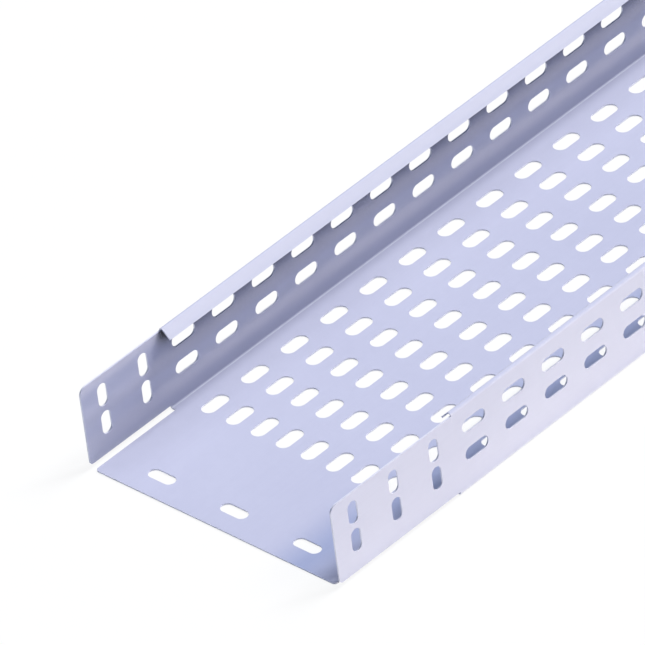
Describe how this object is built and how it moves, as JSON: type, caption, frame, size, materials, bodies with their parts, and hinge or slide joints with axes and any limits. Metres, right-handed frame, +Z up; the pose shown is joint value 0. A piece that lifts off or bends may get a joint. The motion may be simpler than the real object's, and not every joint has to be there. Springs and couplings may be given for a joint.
{
  "type": "perforated cable tray",
  "caption": "Folded steel cable tray with slotted floor and side walls, inward return lips and a slit coupling end with upright slots, for carrying cables along a run.",
  "frame": {"origin": "centre of the underside, on the level floor that the tray lies on", "axes": "+X along the tray, away from its coupling end; +Y towards the wall with the shorter coupling tab; +Z up, out of the open side"},
  "size_m": [2, 0.2, 0.06],
  "materials": {
    "sheet": "smooth satin galvanised sheet"
  },
  "bodies": {
    "root": {"tray": "sheet"}
  },
  "joints": []
}
